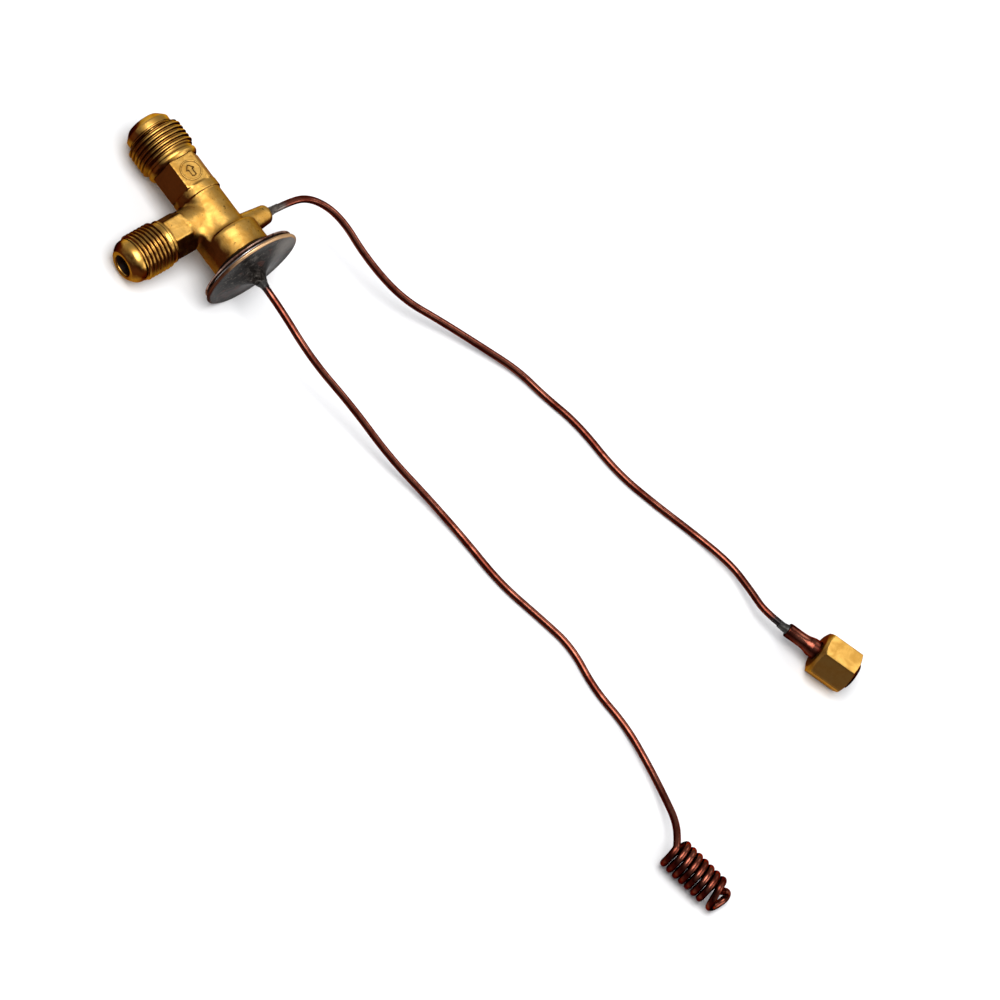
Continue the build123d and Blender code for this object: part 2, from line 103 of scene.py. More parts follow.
def levelFrame(origin, heading):
    side = Vector((0, 0, 1)).cross(Vector(heading))
    return axesFrame(origin, heading, side)


valvePlace = valveFrame()
inletPlace = valvePlace @ Matrix.Rotation(radians(-90), 4, "Z")
outletPlace = valvePlace @ Matrix.Rotation(radians(180), 4, "Z")
sleeveMouth = Vector(mounts["equaliser_connection"]["pos_m"])
sleeveAxis = Vector(mounts["equaliser_connection"]["axis"])
coilMiddle = Vector(mounts["bulb_strap"]["pos_m"])
coilAxis = Vector(mounts["bulb_strap"]["axis"])


# Copper tubes, each one smooth curve

tubeSettings = {
    "diameter": 2.4 * mm,
    "sensingLength": 0.4545,
    "equaliserLength": 0.2390,
    "straightExit": 8.0 * mm,
    "nippleDepth": 24.4 * mm,
    "nippleEnd": 27.4 * mm,
    "bossX": 8.4 * mm,
    "socketFloor": 11.6 * mm,
    "bossReach": 16.4 * mm,
    "sleeveLength": 26.3 * mm,
    "sleeveInsert": 5.0 * mm,
    "ringSteps": 6,
    "curveSteps": 10,
    "curveOrder": 3,
}

coilSettings = {
    "meanRadius": 4.5 * mm,
    "raise": 0.38 * mm,
    "pitch": 2.62 * mm,
    "turns": 7,
    "pointsPerTurn": 16,
    "length": 20.96 * mm,
    "firstPlace": 1.25 * mm,
    "startAngle": 100.0,
    "wander": 0.22 * mm,
    "wanderRate": 0.9,
    "wanderSeed": (3.1, 0.4),
}

# millimetres from the centre of the valve's box, as they lie on the floor
sensingRoute = [
    (59.5, 9.8, 15.6), (78.0, 17.2, 10.6), (96.5, 22.4, 6.0), (113.0, 29.0, 2.8),
    (130.0, 33.6, 1.4), (147.5, 36.4, 1.25), (163.5, 42.6, 1.25), (176.0, 47.0, 1.25),
    (191.0, 45.7, 1.25), (206.0, 48.6, 1.3), (220.5, 46.9, 2.6), (232.0, 44.0, 4.8),
    (241.0, 40.4, 7.8),
]
equaliserRoute = [
    (14.2, 40.2, 20.2), (23.0, 47.6, 17.6), (38.0, 50.8, 13.0), (53.5, 57.2, 9.0),
    (65.0, 68.0, 5.8), (78.0, 78.2, 3.4), (90.0, 86.8, 1.9), (100.5, 90.4, 1.3),
    (114.0, 96.2, 1.25), (133.5, 99.0, 1.25), (149.0, 105.6, 1.25), (162.5, 112.2, 1.3),
    (176.5, 117.0, 2.8), (187.5, 116.4, 5.2),
]
# the last turn stands open, then the tube ends inside it: along, aside and up from the coil's middle
openTurn = [
    (9.6, -2.0, 3.6), (10.4, -4.0, 1.2), (11.2, -4.4, -1.8), (12.3, -2.4, -4.0), (13.3, 0.6, -4.2),
    (13.9, 3.2, -3.4), (13.3, 4.4, -1.6), (11.9, 3.6, -0.4), (10.7, 1.9, 0.0),
]


def curveTube(name, points, diameter):
    data = bpy.data.curves.new(name, "CURVE")
    data.dimensions = "3D"
    data.bevel_depth = diameter / 2
    data.bevel_resolution = tubeSettings["ringSteps"]
    data.resolution_u = tubeSettings["curveSteps"]
    data.use_fill_caps = True
    spline = data.splines.new("NURBS")
    spline.points.add(len(points) - 1)
    for spot, point in zip(spline.points, points):
        spot.co = (*point, 1.0)
    spline.order_u = tubeSettings["curveOrder"]
    spline.use_endpoint_u = True
    tube = bpy.data.objects.new(name, data)
    bpy.context.scene.collection.objects.link(tube)
    return tube


def coilPoints(settings):
    place = levelFrame(coilMiddle + Vector((0, 0, settings["raise"])), coilAxis)
    perTurn = settings["pointsPerTurn"]
    radius = settings["meanRadius"] / cos(pi / perTurn)  # the curve runs inside its points
    first = settings["firstPlace"] - settings["length"] / 2
    points = []
    for step in range(settings["turns"] * perTurn + 1):
        share = step / perTurn
        angle = radians(settings["startAngle"]) + 2 * pi * share
        loose = settings["wander"] * noise.noise((share * settings["wanderRate"], *settings["wanderSeed"]))
        along = first + settings["pitch"] * share + loose
        points.append(place @ Vector((along, (radius + loose) * cos(angle), (radius + loose) * sin(angle))))
    return points + [place @ (Vector(point) * mm) for point in openTurn]


def sensingPoints(settings):
    start = valvePlace @ Vector((settings["nippleDepth"], 0, 0))
    leave = valvePlace @ Vector((settings["nippleEnd"] + settings["straightExit"], 0, 0))
    return [start, leave] + [Vector(point) * mm for point in sensingRoute] + coilPoints(coilSettings)


def equaliserPoints(settings):
    start = valvePlace @ Vector((settings["bossX"], settings["socketFloor"], 0))
    leave = valvePlace @ Vector((settings["bossX"], settings["bossReach"] + settings["straightExit"], 0))
    rear = sleeveMouth - sleeveAxis * settings["sleeveLength"]
    enter = rear - sleeveAxis * settings["straightExit"]
    end = rear + sleeveAxis * settings["sleeveInsert"]
    return [start, leave] + [Vector(point) * mm for point in equaliserRoute] + [enter, end]


sensingTube = curveTube("sensingTube", sensingPoints(tubeSettings), tubeSettings["diameter"])
equaliserTube = curveTube("equaliserTube", equaliserPoints(tubeSettings), tubeSettings["diameter"])
print("tubes are routed")


# Mesh helpers: rows of points around X, in metres

def linkMesh(name, mesh, place):
    piece = bpy.data.objects.new(name, mesh)
    piece.matrix_world = place
    bpy.context.scene.collection.objects.link(piece)
    return piece


def turnedMesh(name, rows, steps):
    # a closed section turned about X; rows hold (x, radius), and a radius may be a function of the angle
    points, faces = [], []
    for x, radius in rows:
        for step in range(steps):
            angle = 2 * pi * step / steps
            r = radius(angle) if callable(radius) else radius
            points.append((x, r * cos(angle), r * sin(angle)))
    count = len(rows)
    for row in range(count):
        here, there = row * steps, (row + 1) % count * steps
        for step in range(steps):
            nextStep = (step + 1) % steps
            faces.append((here + step, here + nextStep, there + nextStep, there + step))
    mesh = bpy.data.meshes.new(name)
    mesh.from_pydata(points, [], faces)
    mesh.validate()
    outward(mesh)
    return mesh


def outward(mesh):
    work = bmesh.new()
    work.from_mesh(mesh)
    bmesh.ops.recalc_face_normals(work, faces=work.faces)
    work.to_mesh(mesh)
    work.free()


def smoothMesh(mesh, sharpAngle):
    for face in mesh.polygons:
        face.use_smooth = True
    mesh.set_sharp_from_angle(angle=radians(sharpAngle))


def softened(outline, radius):
    # a closed outline of (x, radius) with each corner turned into an arc, which takes under half of a side
    sideShare, arcSteps = 0.45, 3
    result = []
    for i, corner in enumerate(outline):
        here = Vector(corner)
        before, after = Vector(outline[i - 1]) - here, Vector(outline[(i + 1) % len(outline)]) - here
        reach = min(radius, before.length * sideShare, after.length * sideShare)
        start, end = here + before.normalized() * reach, here + after.normalized() * reach
        for step in range(arcSteps + 1):
            t = step / arcSteps
            spot = start * (1 - t) ** 2 + here * 2 * t * (1 - t) + end * t ** 2
            result.append((spot.x, spot.y))
    return result


def smoothLine(points, steps):
    # a smooth line through (x, radius) points
    ends = [Vector(point) for point in [points[0]] + list(points) + [points[-1]]]
    result = []
    for a, b, c, d in zip(ends, ends[1:], ends[2:], ends[3:]):
        for step in range(steps):
            t = step / steps
            spot = 0.5 * (2 * b + (c - a) * t + (2 * a - 5 * b + 4 * c - d) * t ** 2
                          + (3 * b - a - 3 * c + d) * t ** 3)
            result.append((spot.x, spot.y))
    result.append(tuple(points[-1]))
    return result


def roughen(mesh, amount, size, seed):
    # moves the points in and out along their normals, for hand-made and cast surfaces
    shift = Vector((seed, seed * 0.37, -seed))
    moves = [vertex.normal * amount * noise.noise(vertex.co / size + shift) for vertex in mesh.vertices]
    for vertex, move in zip(mesh.vertices, moves):
        vertex.co += move


def soften(mesh, places):
    # smooths round some places given as (middle, radius, times) in millimetres, most at each middle
    work = bmesh.new()
    work.from_mesh(mesh)
    for middle, radius, times in places:
        centre = Vector(middle) * mm
        near = [(vertex, (vertex.co - centre).length / (radius * mm)) for vertex in work.verts]
        near = [(vertex, away) for vertex, away in near if away < 1]
        for step in range(times):
            verts = [vertex for vertex, away in near if away < 1 - step / times]
            bmesh.ops.smooth_vert(work, verts=verts, factor=0.5, use_axis_x=True, use_axis_y=True,
                                  use_axis_z=True)
    work.to_mesh(mesh)
    work.free()


def joined(name, parts, place):
    # one mesh from several, each given as (mesh, matrix, its first material's index)
    work = bmesh.new()
    for mesh, matrix, index in parts:
        mesh.transform(matrix)
        before = len(work.faces)
        work.from_mesh(mesh)
        work.faces.ensure_lookup_table()
        for face in work.faces[before:]:
            face.material_index += index
    mesh = bpy.data.meshes.new(name)
    work.to_mesh(mesh)
    work.free()
    return linkMesh(name, mesh, place)


def scaled(outline):
    return [(x * mm, r * mm) for x, r in outline]


# Valve body: a softened forging, two turned ports with their threads, and the flow mark

bodySettings = {
    "voxel": 0.25 * mm,
    "weld": 0.001 * mm,
    "smoothing": 2,
    "skinDepth": 0.035 * mm,
    "skinSize": 2.2 * mm,
    "skinSeed": 4.0,
    "cutRoom": 20 * mm,
    "pinRoom": 1.1 * mm,
    "pinReach": (0.0, 7.0),
    "soft": [
        ((4.6, -7.4, 4.4), 5.2, 110), ((3.3, -5.6, 5.8), 4.6, 90), ((0.5, -5.0, 5.5), 6.0, 45),
        ((6.8, -4.6, 6.0), 3.6, 50), ((7.4, 0.0, 7.6), 3.4, 30),
    ],
    "portSteps": 96,
    "rowsPerPitch": 12,
    "embed": 0.6,
    "boreStart": 0.3,
    "boreRoom": 0.1,
    "sharpAngle": 50,
}

# millimetres from the crossing of the ports; a ridge is rounded between two flanks, as shares of the pitch
outletPort = {
    "name": "outletPort",
    "rear": [
        (19.3, 7.8), (19.5, 8.0), (20.0, 8.45), (20.5, 8.72), (21.3, 8.72), (21.5, 8.5), (21.8, 8.3),
        (22.6, 8.3),
    ],
    "front": [
        (32.2, 7.4), (32.75, 7.4), (32.85, 7.7), (33.1, 7.75), (34.5, 7.75), (34.8, 7.68), (35.15, 7.42),
        (36.85, 5.75), (37.0, 5.5), (37.0, 5.4), (36.85, 5.15),
    ],
    "thread": 9.525,
    "pitch": 1.5875,
    "depth": 0.85,
    "ridge": 0.2,
    "valley": 0.12,
    "phase": 0.727,
    "start": 32.2,
    "startRadius": 8.1,
    "startSlope": 1.5,
    "end": 22.6,
    "endSlope": 1.6,
    "hexInside": 7.0,
}
inletPort = {
    "name": "inletPort",
    "rear": [(17.75, 6.9), (17.9, 7.1), (18.2, 7.28), (18.8, 7.28), (19.05, 7.05), (20.0, 6.95)],
    "front": [
        (30.35, 6.8), (30.6, 6.8), (30.7, 7.2), (31.2, 7.25), (31.8, 7.2), (32.6, 7.0), (33.3, 6.55),
        (34.0, 5.9), (34.6, 5.33), (34.85, 5.02), (34.92, 4.8), (34.9, 4.0), (34.72, 3.66), (34.4, 3.55),
    ],
    "thread": 7.9375,
    "pitch": 1.4111,
    "depth": 0.8,
    "ridge": 0.06,
    "valley": 0.3,
    "phase": 0.53,
    "start": 30.35,
    "startRadius": 7.3,
    "startSlope": 0.9,
    "end": 20.0,
    "endSlope": 1.6,
    "hexInside": 5.8,
}

flowMark = {
    "middle": (-13.8, 0.2),
    "flat": 7.5,
    "radius": 3.5,
    "rim": 0.36,
    "height": 0.24,
    "arrowHalfWidth": 1.55,
    "shaftHalfWidth": 0.7,
    "tip": -2.1,
    "shoulder": -0.35,
    "tail": 2.05,
    "border": 0.28,
    "arrowHeight": 0.3,
    "sink": 0.3,
    "arrowDepth": 1.3,
    "arrowEdge": 0.05,
    "rimEdge": 0.1,
    "rimSteps": 72,
    "sharpAngle": 50,
}


def threadRadius(port, x):
    # between the crest and the root of the thread, as a function of the angle
    lead = port["startRadius"] + (port["start"] - x) * port["startSlope"]
    runOut = port["rear"][-1][1] + (x - port["end"]) * port["endSlope"]
    limit = min(port["thread"], lead, runOut)

    def radius(angle):
        away = abs((x / port["pitch"] - port["phase"] - angle / (2 * pi) + 0.5) % 1.0 - 0.5) * 2
        down = min(max((away - port["ridge"]) / (1 - port["ridge"] - port["valley"]), 0.0), 1.0)
        return min(limit, port["thread"] - port["depth"] * down * down * (3 - 2 * down)) * mm

    return radius


def portMesh(port):
    # collar, relief, thread, groove, nose, cone and bore, closed back to the collar
    rearStart, bore = port["rear"][0][0], port["front"][-1][1]
    inside = rearStart - bodySettings["embed"]
    count = ceil((port["start"] - port["end"]) / port["pitch"] * bodySettings["rowsPerPitch"])
    ends = [(inside, port["hexInside"]), (rearStart, port["hexInside"])]
    rows = scaled(ends + smoothLine(port["rear"], 3))
    for row in range(1, count):
        x = port["end"] + (port["start"] - port["end"]) * row / count
        rows.append((x * mm, threadRadius(port, x)))
    rows += scaled(smoothLine(port["front"], 3) + [(port["start"], bore), (inside, bore)])
    mesh = turnedMesh(port["name"], rows, bodySettings["portSteps"])
    smoothMesh(mesh, bodySettings["sharpAngle"])
    boreStart = port["front"][-1][0] - bodySettings["boreStart"]
    # faces deep in the bore take the dark brown finish that paints the hole's shade
    for face in mesh.polygons:
        deep = face.center.x < boreStart * mm
        if deep and Vector(face.center.yz).length < (bore + bodySettings["boreRoom"]) * mm:
            face.material_index = 1
    return mesh


def cutter(place, start):
    # a box that takes a port off the forging from start outwards
    room = bodySettings["cutRoom"]
    mesh = bpy.data.meshes.new("cutter")
    work = bmesh.new()
    bmesh.ops.create_cube(work, size=2 * room)
    work.to_mesh(mesh)
    work.free()
    mesh.transform(Matrix.Translation((start * mm + room, 0, 0)))
    return linkMesh("cutter", mesh, place)


def forgingMesh():
    # the forging between its ports, remeshed so that every edge is soft
    mesh = nodes["valve_body"].data.copy()
    core = linkMesh("core", mesh, Matrix.Identity(4))
    ports = ((outletPlace, outletPort), (inletPlace, inletPort))
    cutters = [cutter(place, port["rear"][1][0]) for place, port in ports]
    weld = core.modifiers.new("weld", "WELD")
    weld.merge_threshold = bodySettings["weld"]
    for tool in cutters:
        cut = core.modifiers.new("cut", "BOOLEAN")
        cut.operation = "DIFFERENCE"
        cut.solver = "EXACT"
        cut.object = tool
    remesh = core.modifiers.new("remesh", "REMESH")
    remesh.mode = "VOXEL"
    remesh.voxel_size = bodySettings["voxel"]
    smooth = core.modifiers.new("smooth", "SMOOTH")
    smooth.factor = 0.5
    smooth.iterations = bodySettings["smoothing"]
    bpy.context.view_layer.update()
    result = bpy.data.meshes.new_from_object(core.evaluated_get(bpy.context.evaluated_depsgraph_get()))
    for helper in [core] + cutters:
        bpy.data.objects.remove(helper)
    result.transform(valvePlace.inverted())
    soften(result, bodySettings["soft"])
    roughen(result, bodySettings["skinDepth"], bodySettings["skinSize"], bodySettings["skinSeed"])
    low, high = (x * mm for x in bodySettings["pinReach"])
    for vertex in result.vertices:
        radius = sqrt(vertex.co.y ** 2 + vertex.co.z ** 2)
        if low < vertex.co.x < high and 0 < radius < bodySettings["pinRoom"]:
            vertex.co.y *= bodySettings["pinRoom"] / radius
            vertex.co.z *= bodySettings["pinRoom"] / radius
    result.materials.clear()
    smoothMesh(result, 180)
    return result


def flowMarkMesh(mark):
    # a raised rim and a raised outline of an arrow, from flat rings of quads
    shoulder, tail = mark["shoulder"], mark["tail"]
    head, shaft = mark["arrowHalfWidth"], mark["shaftHalfWidth"]
    arrow = [
        (mark["tip"], 0), (shoulder, head), (shoulder, shaft), (tail, shaft), (tail, -shaft),
        (shoulder, -shaft), (shoulder, -head),
    ]
    work = bmesh.new()
    low, high = mark["flat"] - mark["sink"], mark["flat"] + mark["arrowHeight"]
    x0, y0 = mark["middle"]
    face = work.faces.new([work.verts.new((x0 + x, y0 + y, low)) for x, y in arrow])
    raised = bmesh.ops.extrude_face_region(work, geom=[face])
    tops = [item for item in raised["geom"] if isinstance(item, bmesh.types.BMVert)]
    bmesh.ops.translate(work, verts=tops, vec=(0, 0, high - low))
    top = [item for item in raised["geom"] if isinstance(item, bmesh.types.BMFace)]
    bmesh.ops.inset_region(work, faces=top, thickness=mark["border"], depth=0)
    bmesh.ops.translate(work, verts=top[0].verts, vec=(0, 0, -mark["arrowHeight"] * mark["arrowDepth"]))
    bmesh.ops.bevel(work, geom=work.edges, offset=mark["arrowEdge"], segments=2, affect="EDGES")
    bmesh.ops.recalc_face_normals(work, faces=work.faces)
    arrowMesh = bpy.data.meshes.new("arrow")
    work.to_mesh(arrowMesh)
    work.free()
    arrowMesh.transform(Matrix.Scale(mm, 4))
    outer, inner, height = mark["radius"], mark["radius"] - mark["rim"], mark["height"]
    outline = [(-mark["sink"], outer), (height, outer), (height, inner), (-mark["sink"], inner)]
    ring = turnedMesh("ring", scaled(softened(outline, mark["rimEdge"])), mark["rimSteps"])
    upright = Matrix.Rotation(radians(-90), 4, "Y")
    ring.transform(Matrix.Translation((x0 * mm, y0 * mm, mark["flat"] * mm)) @ upright)
    for mesh in (arrowMesh, ring):
        smoothMesh(mesh, mark["sharpAngle"])
    return [arrowMesh, ring]


def makeBody():
    still = Matrix.Identity(4)
    parts = [(forgingMesh(), still, 0)]
    parts += [(mesh, still, 0) for mesh in flowMarkMesh(flowMark)]
    parts.append((portMesh(outletPort), Matrix.Rotation(radians(180), 4, "Z"), 1))
    parts.append((portMesh(inletPort), Matrix.Rotation(radians(-90), 4, "Z"), 1))
    return joined("valveBody", parts, valvePlace)


valveBody = makeBody()
print("body has", len(valveBody.data.polygons), "faces")


# Power head: two pressed covers, a braze cone on the nipple

headSettings = {
    "steps": 144,
    "sharpAngle": 45,
    "rimWave": 0.10 * mm,
    "waveSize": 9 * mm,
    "lower": [
        (17.1, 8.0), (17.1, 10.2), (17.28, 10.75), (17.9, 11.5), (18.85, 12.7), (19.3, 13.5),
        (19.42, 14.3), (19.45, 15.8), (19.52, 16.15), (19.72, 16.3), (19.98, 16.22), (20.2, 15.95),
        (20.35, 15.4), (20.4, 13.2), (19.85, 12.45), (18.35, 10.6), (18.1, 10.2), (18.1, 8.0),
    ],
    "upperOuter": [
        (20.7, 13.5), (20.74, 15.4), (20.95, 16.3), (21.25, 16.82), (21.6, 17.0), (21.98, 16.8),
        (22.2, 16.2), (22.22, 14.9), (22.27, 13.2), (22.58, 11.1), (23.04, 8.89), (23.48, 7.1),
        (23.98, 5.48), (24.55, 4.24), (25.32, 3.17), (26.0, 2.6), (26.7, 2.14), (27.4, 1.85),
    ],
    "upperInner": [
        (27.4, 1.2), (26.2, 1.2), (25.31, 1.65), (24.23, 2.64), (22.89, 5.18), (21.83, 8.79),
        (21.3, 11.0), (20.9, 12.6),
    ],
    "braze": [(27.4, 1.2), (27.3, 1.9), (27.7, 1.68), (28.1, 1.5), (28.6, 1.37), (29.3, 1.25), (29.3, 1.2)],
}

brazeSettings = {
    "steps": 48,
    "sharpAngle": 70,
    "lumps": 0.12 * mm,
    "lumpSize": 1.1 * mm,
    "boss": [
        (16.2, 1.2), (16.2, 1.8), (16.7, 1.55), (17.2, 1.42), (17.9, 1.33), (18.8, 1.27), (19.9, 1.23),
        (20.1, 1.2),
    ],
    "sleeveRear": [
        (-3.4, 1.2), (-3.3, 1.26), (-2.4, 1.36), (-1.2, 1.46), (-0.2, 1.6), (0.4, 1.85), (0.9, 2.3),
        (1.5, 2.3), (1.5, 1.2),
    ],
}


def makeCovers(settings):
    lower = turnedMesh("lowerCover", scaled(settings["lower"]), settings["steps"])
    outline = smoothLine(settings["upperOuter"], 4) + settings["upperInner"]
    upper = turnedMesh("upperCover", scaled(outline), settings["steps"])
    covers = []
    for name, mesh, seed in (("lowerCover", lower, 2.0), ("upperCover", upper, 7.0)):
        roughen(mesh, settings["rimWave"], settings["waveSize"], seed)
        smoothMesh(mesh, settings["sharpAngle"])
        covers.append(linkMesh(name, mesh, valvePlace))
    return covers


def makeBraze(name, outline, place, seed):
    mesh = turnedMesh(name, scaled(smoothLine(outline, 3)), brazeSettings["steps"])
    roughen(mesh, brazeSettings["lumps"], brazeSettings["lumpSize"], seed)
    smoothMesh(mesh, brazeSettings["sharpAngle"])
    return linkMesh(name, mesh, place)


lowerCover, upperCover = makeCovers(headSettings)
bossShift = Matrix.Translation((tubeSettings["bossX"], 0, 0))
bossPlace = valvePlace @ bossShift @ Matrix.Rotation(radians(90), 4, "Z")
sleevePlace = levelFrame(sleeveMouth - sleeveAxis * tubeSettings["sleeveLength"], sleeveAxis)
headBraze = makeBraze("headBraze", headSettings["braze"], valvePlace, 1.0)
equaliserBraze = makeBraze("equaliserBraze", brazeSettings["boss"], bossPlace, 5.0)
sleeveBraze = makeBraze("sleeveBraze", brazeSettings["sleeveRear"], sleevePlace, 9.0)
print("power head is made")


# Sleeve with its flare, and the nut

sleeveSettings = {
    "steps": 72,
    "outer": [
        (0.15, 1.7), (0.0, 2.1), (0.25, 2.4), (1.2, 2.46), (4.0, 2.42), (6.2, 2.46), (7.6, 2.58),
        (8.8, 2.92), (9.9, 3.14), (11.0, 3.175), (24.6, 3.175), (24.95, 3.26), (25.4, 3.6), (26.15, 4.4),
        (26.3, 4.5),
    ],
    "inner": [(26.22, 3.9), (25.0, 2.5), (24.4, 2.38), (10.0, 2.38), (7.4, 1.65), (3.6, 1.65)],
    "dents": 0.05 * mm,
    "dentSize": 2.5 * mm,
    "dentSeed": 3.0,
    "sharpAngle": 60,
}

nutSettings = {
    "steps": 144,
    "flats": 14.29,
    "start": 11.9,
    "length": 13.2,
    "bore": 3.245,
    "threadRoot": 5.52,
    "threadCrest": 4.96,
    "pitch": 1.27,
    "threadDepth": 8.6,
    "rearRadius": 5.9,
    "rearSlope": 0.58,
    "frontRadius": 6.75,
    "frontSlope": 0.5,
    "edge": 0.12,
    "rowsPerPitch": 10,
    "leadLength": 0.6,
    "leadSlope": 0.9,
    "grooveShare": 0.84,
    "flankShare": 0.62,
    "mouthRoom": 0.56,
    "seatDepth": 1.6,
    "rearEdge": 0.15,
    "frontEdge": 0.12,
    "rearRows": (0.02, 0.15, 0.35, 0.6, 0.85, 1.1, 1.35, 1.6),
    "middleRows": (0.2, 0.35, 0.5, 0.65, 0.8, 0.9),
    "frontRows": (0.9, 0.7, 0.5, 0.35, 0.2, 0.08, 0.01),
    "sharpAngle": 28,
}


def hexRadius(flats, edge):
    # radius of a hexagon with softened corners, two flats square to Z
    def radius(angle):
        turned = (angle + pi / 2) % (pi / 3)
        offset = abs(turned - pi / 6)
        sharp = flats / 2 / cos(pi / 6 - offset)
        corner = flats / sqrt(3) - edge
        return min(sharp, corner + (sharp - corner) * 0.35) if sharp > corner else sharp
    return radius


def makeSleeve(settings):
    outline = smoothLine(settings["outer"], 3) + settings["inner"]
    mesh = turnedMesh("endSleeve", scaled(outline), settings["steps"])
    roughen(mesh, settings["dents"], settings["dentSize"], settings["dentSeed"])
    smoothMesh(mesh, settings["sharpAngle"])
    return linkMesh("endSleeve", mesh, sleevePlace)


def makeNut(settings):
    # hexagon with both ends turned to a chamfer, a plain bore, a seat and a tapped mouth
    start, end = settings["start"], settings["start"] + settings["length"]
    hexagon = hexRadius(settings["flats"], settings["edge"])

    def side(x):
        rear = settings["rearRadius"] + (x - start) / settings["rearSlope"]
        front = settings["frontRadius"] + (end - x) / settings["frontSlope"]
        return lambda angle: min(hexagon(angle), rear, front) * mm

    def tapped(x):
        rootRadius, crest = settings["threadRoot"], settings["threadCrest"]
        lead = max(0.0, settings["leadLength"] - (end - x)) * settings["leadSlope"]

        def radius(angle):
            away = abs((x / settings["pitch"] - angle / (2 * pi)) % 1.0 - 0.5) * 2
            groove = min(max((settings["grooveShare"] - away) / settings["flankShare"], 0.0), 1.0)
            return max(crest + lead, crest + (rootRadius - crest) * groove) * mm
        return radius

    rows = [(start * mm, settings["bore"] * mm)]
    rows.append((start * mm, (settings["rearRadius"] - settings["rearEdge"]) * mm))
    places = [start + step for step in settings["rearRows"]]
    places += [start + settings["length"] * share for share in settings["middleRows"]]
    places += [end - step for step in settings["frontRows"]]
    rows += [(x * mm, side(x)) for x in places]
    rows.append((end * mm, (settings["frontRadius"] - settings["frontEdge"]) * mm))
    rows.append((end * mm, (settings["threadCrest"] + settings["mouthRoom"]) * mm))
    floor = end - settings["threadDepth"]
    count = ceil(settings["threadDepth"] / settings["pitch"] * settings["rowsPerPitch"])
    for row in range(1, count):
        x = end - (end - floor) * row / count
        rows.append((x * mm, tapped(x)))
    rows.append((floor * mm, settings["threadCrest"] * mm))
    rows.append(((floor - settings["seatDepth"]) * mm, settings["bore"] * mm))
    mesh = turnedMesh("flareNut", rows, settings["steps"])
    smoothMesh(mesh, settings["sharpAngle"])
    return linkMesh("flareNut", mesh, sleevePlace)


endSleeve = makeSleeve(sleeveSettings)
flareNut = makeNut(nutSettings)
print("sleeve and nut are made")


# Pinched and soldered end of the bulb's tube

tipSettings = {
    "outline": [(-1.6, 1.16), (-1.2, 1.24), (-0.2, 1.26), (0.5, 1.05), (0.95, 0.55), (1.05, 0.1)],
    "steps": 32,
    "sharpAngle": 60,
}


def makeTip(settings):
    before, end = [Vector(point.co[:3]) for point in sensingTube.data.splines[0].points[-2:]]
    heading = (end - before).normalized()
    side = heading.cross(Vector((0, 0, 1))).normalized()
    outline = smoothLine(settings["outline"], 3)
    mesh = turnedMesh("bulbTip", scaled(outline), settings["steps"])
    smoothMesh(mesh, settings["sharpAngle"])
    return linkMesh("bulbTip", mesh, axesFrame(end, heading, side))


bulbTip = makeTip(tipSettings)


# Shader groups, used by several materials

def newGroup(name, inputs, output):
    # a group with one output; its inputs are given as {label: value}, where a tuple is a vector
    tree = bpy.data.node_groups.new(name, "ShaderNodeTree")
    for label, value in inputs.items():
        kind = "NodeSocketVector" if isinstance(value, tuple) else "NodeSocketFloat"
        socket = tree.interface.new_socket(name=label, in_out="INPUT", socket_type=kind)
        socket.default_value = value
    tree.interface.new_socket(name=output, in_out="OUTPUT", socket_type="NodeSocketFloat")
    return tree, tree.nodes.new("NodeGroupInput").outputs, tree.nodes.new("NodeGroupOutput").inputs[output]


def addNode(tree, kind, inputs=None, **values):
    # a node with its properties set, and its inputs given as values or as sockets to link
    node = tree.nodes.new(kind)
    for key, value in values.items():
        setattr(node, key, value)
    for key, value in (inputs or {}).items():
        if isinstance(value, bpy.types.NodeSocket):
            tree.links.new(value, node.inputs[key])
        else:
            node.inputs[key].default_value = value
    return node


def coordsOf(tree):
    return addNode(tree, "ShaderNodeTexCoord").outputs


def mathOf(tree, operation, *values):
    return addNode(tree, "ShaderNodeMath", dict(enumerate(values)), operation=operation).outputs["Value"]


def vectorMathOf(tree, operation, *values):
    node = addNode(tree, "ShaderNodeVectorMath", dict(enumerate(values)), operation=operation)
    return node.outputs["Vector" if operation == "MULTIPLY" else "Value"]


def noiseOf(tree, place, scale, detail, roughness=0.5, warp=0.0):
    look = {"Vector": place, "Scale": scale, "Detail": detail, "Roughness": roughness, "Distortion": warp}
    return addNode(tree, "ShaderNodeTexNoise", look).outputs["Fac"]


def remapped(tree, value, low, high, toLow=0.0, toHigh=1.0, smooth=False):
    # a value between low and high, taken to between toLow and toHigh
    ends = {"Value": value, "From Min": low, "From Max": high, "To Min": toLow, "To Max": toHigh}
    kind = "SMOOTHSTEP" if smooth else "LINEAR"
    return addNode(tree, "ShaderNodeMapRange", ends, interpolation_type=kind).outputs["Result"]


def makeMottle():
    # patches of a stain, from 0 to 1
    tree, given, out = newGroup("mottle", {"Scale": 300.0, "Low": 0.4, "High": 0.65, "Warp": 0.4}, "Mask")
    patches = noiseOf(tree, coordsOf(tree)["Object"], given["Scale"], 6.0, 0.62, given["Warp"])
    tree.links.new(remapped(tree, patches, given["Low"], given["High"], smooth=True), out)
    return tree


def makeGrain():
    # height of a blasted or cast skin, with pits
    tree, given, out = newGroup("castGrain", {"Scale": 1400.0, "Pit Scale": 500.0, "Pits": 0.5}, "Height")
    place = coordsOf(tree)["Object"]
    fine = noiseOf(tree, place, given["Scale"], 5.0, 0.6)
    cells = {"Vector": place, "Scale": given["Pit Scale"], "Randomness": 1.0}
    pits = addNode(tree, "ShaderNodeTexVoronoi", cells).outputs["Distance"]
    deep = mathOf(tree, "MULTIPLY", remapped(tree, pits, 0.0, 0.22, 1.0, 0.0), given["Pits"])
    tree.links.new(mathOf(tree, "SUBTRACT", fine, deep), out)
    return tree


